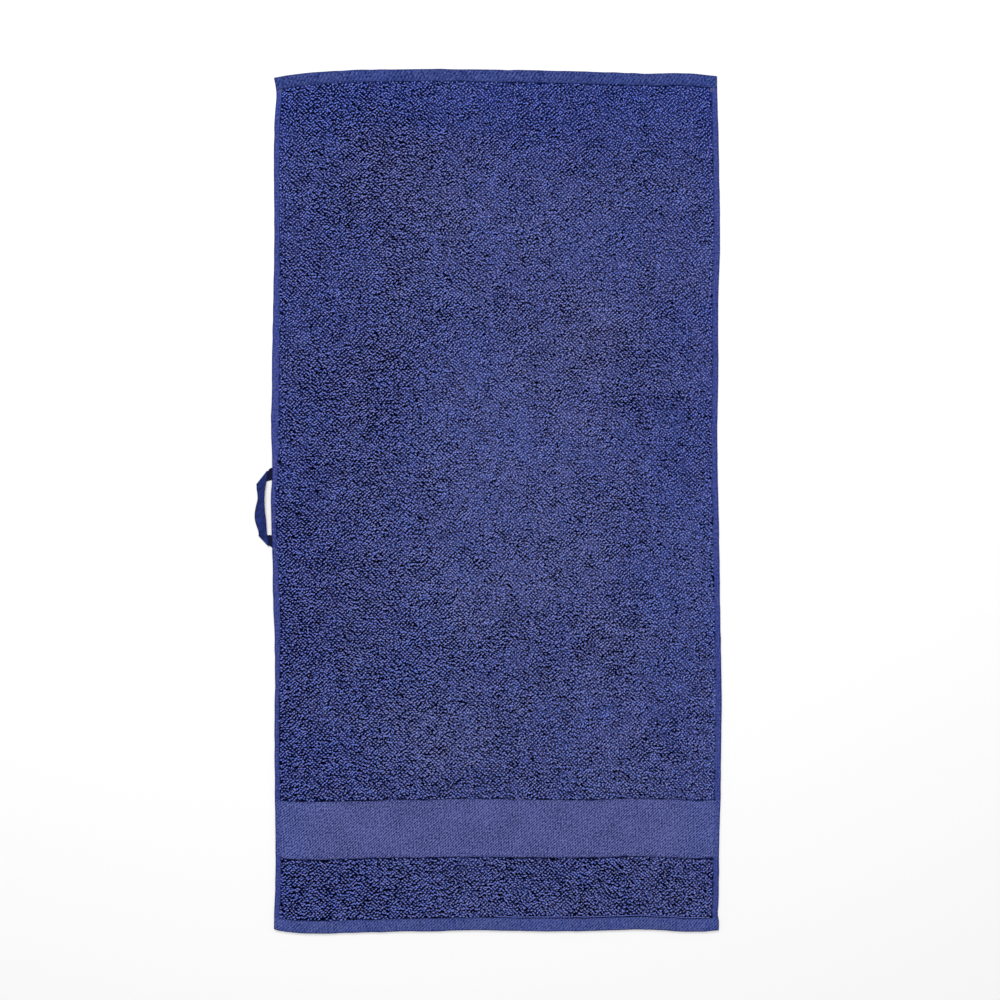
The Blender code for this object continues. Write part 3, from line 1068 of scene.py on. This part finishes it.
def sewn_mesh():
    """Every stitch a thin spindle whose ends go down into the cloth."""
    template, faces = spindle(STITCH_SIDES, STITCH_STATIONS)[:2]
    rows = stitch_rows()
    rows[:, 1:4:2] += SEAM_WANDER * soft_field(13, 30.0, rows[:, 0], rows[:, 1])[:, None]
    start, end, thread = rows[:, :2], rows[:, 2:4], rows[:, 4:]
    middle, reach = (start + end) / 2, (end - start) / 2
    x, y = seen_from_above(*middle.T)
    top = cloth_heights(*middle.T, np.ones(len(rows), bool)) + lift_over_tape(x, y)
    half = np.hypot(*reach.T) - STITCH_GAP / 2
    turn = np.arctan2(-reach[:, 1], reach[:, 0])

    # From here on a row is a stitch, and a column one of its points
    x, y, top, half, turn = np.array((x, y, top, half, turn))[:, :, None]
    along, over, up = template.T
    aside = over * thread
    points = np.empty((len(rows), len(template), 3))
    points[..., 0] = x + along * half * np.cos(turn) - aside * np.sin(turn)
    points[..., 1] = y + along * half * np.sin(turn) + aside * np.cos(turn)
    points[..., 2] = top + STITCH_RISE + thread - THREAD + up * thread - STITCH_DIVE * along**4
    mesh = mesh_of_copies("sewing", points, faces)
    pale, bright = rows[:, 4] == TACK_THREAD, rows[:, 4] == SEAM_THREAD
    give_copies(mesh, len(template), pale=pale, bright=bright)
    return mesh


def thread_finish():
    finish = Finish("sewing thread", Roughness=0.6, Specular_IOR_Level=0.2)
    x, y, z = finish.parts(finish.spot())
    ply = ((x + y * 0.6) * (1 / THREAD_PLY)).wave()
    light = ply * 0.7 + finish.noise(0.002) * 0.3
    blue = finish.blend(light, THREAD_DEEP, THREAD_LIGHT)
    worn = finish.blend(light, TACK_DEEP, TACK_LIGHT)
    seam = finish.blend(light, SEAM_DEEP, SEAM_LIGHT)
    colour = finish.blend(finish.attribute("pale"), blue, worn)
    colour = finish.blend(finish.attribute("bright"), colour, seam)
    return finish.finished(colour, ply, THREAD_RELIEF)


sewing = add_piece("sewing", sewn_mesh(), thread_finish())


# The hanging loop: one length of woven cotton tape, folded to a mitre at each corner so
# that its middle stands on edge beside the towel. Its two ends lie under the selvage,
# where the stitches hold them.

TAPE_THICK = 0.9
LAYER_GAP = 0.35
FOLD_STEPS = 8
TAPE_COLUMNS = 10
TAPE_STEP = 0.8
OFF_SURFACE = 0.03
LOWER_LAYER = OFF_SURFACE + TAPE_THICK / 2
UPPER_LAYER = LOWER_LAYER + TAPE_THICK + LAYER_GAP
TAPE_EDGE = 0.22
# Its flat width and length, in metres
TAPE_CUT = (0.0138, 0.112)
TAPE_DEEP = (0.0045, 0.0105, 0.068)
TAPE_LIGHT = (0.018, 0.035, 0.198)
LEG_SHADE_DEEP = (0.0010, 0.0018, 0.012)
LEG_SHADE_LIGHT = (0.0070, 0.0110, 0.058)
# The flat legs, from either end to a fold along the tape, are painted dark as shade under the
# layer above and the selvage
UPPER_LEG_SHADE = (23.0, 22.2)
LOWER_LEG_SHADE = (95.0, 95.8)
# The ribs' pitch and slope, how wide the plain sides are, and the pitch of their weft
TAPE_RIB = 1.5
TAPE_RIB_SLOPE = 0.8
TAPE_SIDE = 1.1
TAPE_SIDE_RIB = 0.9
TAPE_WEAR = (2.6, 0.0040, 3.0)
TAPE_TONE = 0.28
TAPE_RELIEF = 0.00025

# Its two edges from section to section: outer x, y, z, then inner x, y, z. The legs that
# lie flat have no z of their own
UPPER_LEG = (
    (-241.8, 23.3, -241.8, 37.3), (-247.0, 23.1, -247.0, 37.2),
    (-253.5, 23.2, -252.4, 37.2), (-260.0, 21.4, -254.8, 36.1),
)
UPPER_FOLD = ((-268.9, 17.8), (-256.6, 33.4))
STANDING_LEG = (
    (-269.0, 14.0, 2.2, -258.2, 21.5, 4.4),
    (-268.1, 9.0, 2.4, -259.7, 11.0, 6.6),
    (-267.8, 1.5, 2.6, -260.1, 1.5, 7.4),
    (-269.6, -5.6, 2.2, -259.9, -5.6, 7.0),
    (-271.0, -13.0, 1.6, -259.4, -13.0, 6.2),
    (-271.1, -20.0, 1.4, -258.4, -20.0, 5.6),
    (-269.5, -26.5, 1.6, -257.9, -27.5, 5.2),
    (-267.2, -32.6, 1.9, -257.4, -37.0, 4.2),
)
LOWER_FOLD = ((-266.5, -38.2), (-255.2, -50.3))
LOWER_LEG = (
    (-253.0, -38.4, -251.6, -52.3), (-247.0, -38.6, -247.0, -52.6),
    (-241.8, -38.7, -241.8, -52.6),
)


def laid(leg):
    """The sections of a leg that lies flat in the lower layer."""
    return np.insert(np.array(leg), (2, 4), LOWER_LAYER, axis=1)


def half_turn(fold, bottom_up):
    """Sections of the tape round a mitre fold, from one layer to the other."""
    outer, inner = (np.array([*end, LOWER_LAYER]) for end in fold)
    along = (inner - outer) / np.linalg.norm(inner - outer)
    outward = np.cross([0.0, 0.0, 1.0], along)
    outward = -outward if outward[0] > 0 else outward
    radius = (UPPER_LAYER - LOWER_LAYER) / 2
    sections = []
    for turn in np.linspace(0.0, np.pi, FOLD_STEPS + 1):
        shift = radius * (np.sin(turn) * outward + (1 - np.cos(turn)) * np.array([0.0, 0.0, 1.0]))
        sections.append((*(outer + shift), *(inner + shift)))
    return sections if bottom_up else sections[::-1]


def along_tape(sections):
    """How far along the tape each of its sections lies."""
    middle = (sections[:, :3] + sections[:, 3:]) / 2
    steps = np.linalg.norm(np.diff(middle, axis=0), axis=1)
    return np.concatenate(([0.0], np.cumsum(steps)))


def tape_sections():
    """Close sections of the tape along its length, and how far along each one lies."""
    standing = np.array(STANDING_LEG)
    reach = along_tape(standing)
    smooth = spaced(reach, TAPE_STEP)
    leg = [curve_through(np.column_stack((reach, side)), smooth) for side in standing.T]
    sections = np.array([
        *laid(UPPER_LEG), *half_turn(UPPER_FOLD, True), *np.column_stack(leg),
        *half_turn(LOWER_FOLD, False), *laid(LOWER_LEG),
    ])
    reach = along_tape(sections)
    places = spaced(reach, TAPE_STEP)
    sides = [np.interp(places, reach, side) for side in sections.T]
    return np.column_stack(sides), places


def tape_mesh():
    """The tape's middle layer, given its thickness and its rounded edges by modifiers."""
    sections, places = tape_sections()
    tape = bmesh.new()
    bmesh.ops.create_grid(tape, x_segments=TAPE_COLUMNS, y_segments=len(sections) - 1, size=0.5)
    chart = tape.loops.layers.uv.new("Tape")
    for point in tape.verts:
        share, row = point.co.x + 0.5, round((point.co.y + 0.5) * (len(sections) - 1))
        for corner in point.link_loops:
            corner[chart].uv = (share, places[row] * MM)
        point.co = ((1 - share) * sections[row, :3] + share * sections[row, 3:]) * MM
    return smooth_mesh("hanging_tape", tape)


def tape_finish():
    finish = Finish("loop tape", Roughness=0.8, Specular_IOR_Level=0.15)
    share, along = finish.own_map("Tape")
    wide = TAPE_CUT[0] / MM
    over, along = share * wide, along * 1000
    side = (share.least(1 - share) * wide - TAPE_SIDE).clamped()
    ribs = ((over * TAPE_RIB_SLOPE + along) / TAPE_RIB).wave() * side
    ribs = ribs + (along / TAPE_SIDE_RIB).wave() * (1 - side)
    wear = finish.uneven(*TAPE_WEAR) + TAPE_TONE
    tone = (ribs * 0.5 + wear).clamped() * (side * 0.45 + 0.55)
    colour = finish.blend(tone, TAPE_DEEP, TAPE_LIGHT)
    # The flat legs are painted dark as shade
    leg_in_shade = fading(along, *UPPER_LEG_SHADE) + fading(along, *LOWER_LEG_SHADE)
    shaded_leg = finish.blend(tone, LEG_SHADE_DEEP, LEG_SHADE_LIGHT)
    colour = finish.blend(leg_in_shade.clamped(), colour, shaded_leg)
    height = ribs + finish.noise(FIBRE, 2.0) * 0.4
    return finish.finished(colour, height, TAPE_RELIEF)


tape = add_piece("hanging_tape", tape_mesh(), tape_finish())
wall = tape.modifiers.new("tape thickness", "SOLIDIFY")
wall.thickness = TAPE_THICK * MM
wall.offset = 0.0
wall.use_even_offset = True
worn_edge = tape.modifiers.new("rounded edges", "BEVEL")
worn_edge.width = TAPE_EDGE * MM
worn_edge.segments = 2
worn_edge.angle_limit = math.radians(60)
merged = tape.modifiers.new("merged points", "WELD")
merged.merge_threshold = 0.00001
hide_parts("hanging_loop")


# The studio: a white floor under a broad soft light, brightest towards the plain end of
# the towel, with the camera straight above.

FLOOR_SIZE = 8.0
FLOOR_COLOUR = (0.90, 0.90, 0.90)
# Each light's name, place, width and power
LIGHTS = (
    ("overhead light", (0.0, 0.3, 3.4), 2.2, 51.0),
    ("key light", (-0.5, 2.2, 2.2), 1.2, 46.0),
)
LIGHT_ALL_ROUND = 0.48
VIEW_HEIGHT = 3.0
VIEW_HALF = 0.5618
VIEW_CENTRE = (0.0042, 0.0010)


def lay_floor():
    sheet = bmesh.new()
    bmesh.ops.create_grid(sheet, x_segments=1, y_segments=1, size=FLOOR_SIZE / 2)
    mesh = smooth_mesh("floor", sheet)
    finish = Finish("white floor", Roughness=0.9)
    finish.feed(finish.shader.inputs["Base Color"], FLOOR_COLOUR)
    mesh.materials.append(finish.material)
    put_in_scene("floor", mesh)


def hang_light(name, place, size, power):
    """A square soft light that faces the middle of the towel."""
    lamp = bpy.data.lights.new(name, "AREA")
    lamp.size = size
    lamp.energy = power
    light = put_in_scene(name, lamp)
    light.location = place
    light.rotation_euler = (-light.location).to_track_quat("-Z", "Y").to_euler()
    light.visible_camera = False


lay_floor()
for light in LIGHTS:
    hang_light(*light)
world = bpy.data.worlds.new("studio")
world.use_nodes = True
background = world.node_tree.nodes["Background"]
background.inputs["Color"].default_value = (1.0, 1.0, 1.0, 1.0)
background.inputs["Strength"].default_value = LIGHT_ALL_ROUND
bpy.context.scene.world = world
bpy.context.scene.view_settings.view_transform = "Standard"

camera = put_in_scene("camera", bpy.data.cameras.new("camera"))
camera.location = (*VIEW_CENTRE, VIEW_HEIGHT)
camera.data.angle = 2 * math.atan(VIEW_HALF / VIEW_HEIGHT)
bpy.context.scene.camera = camera
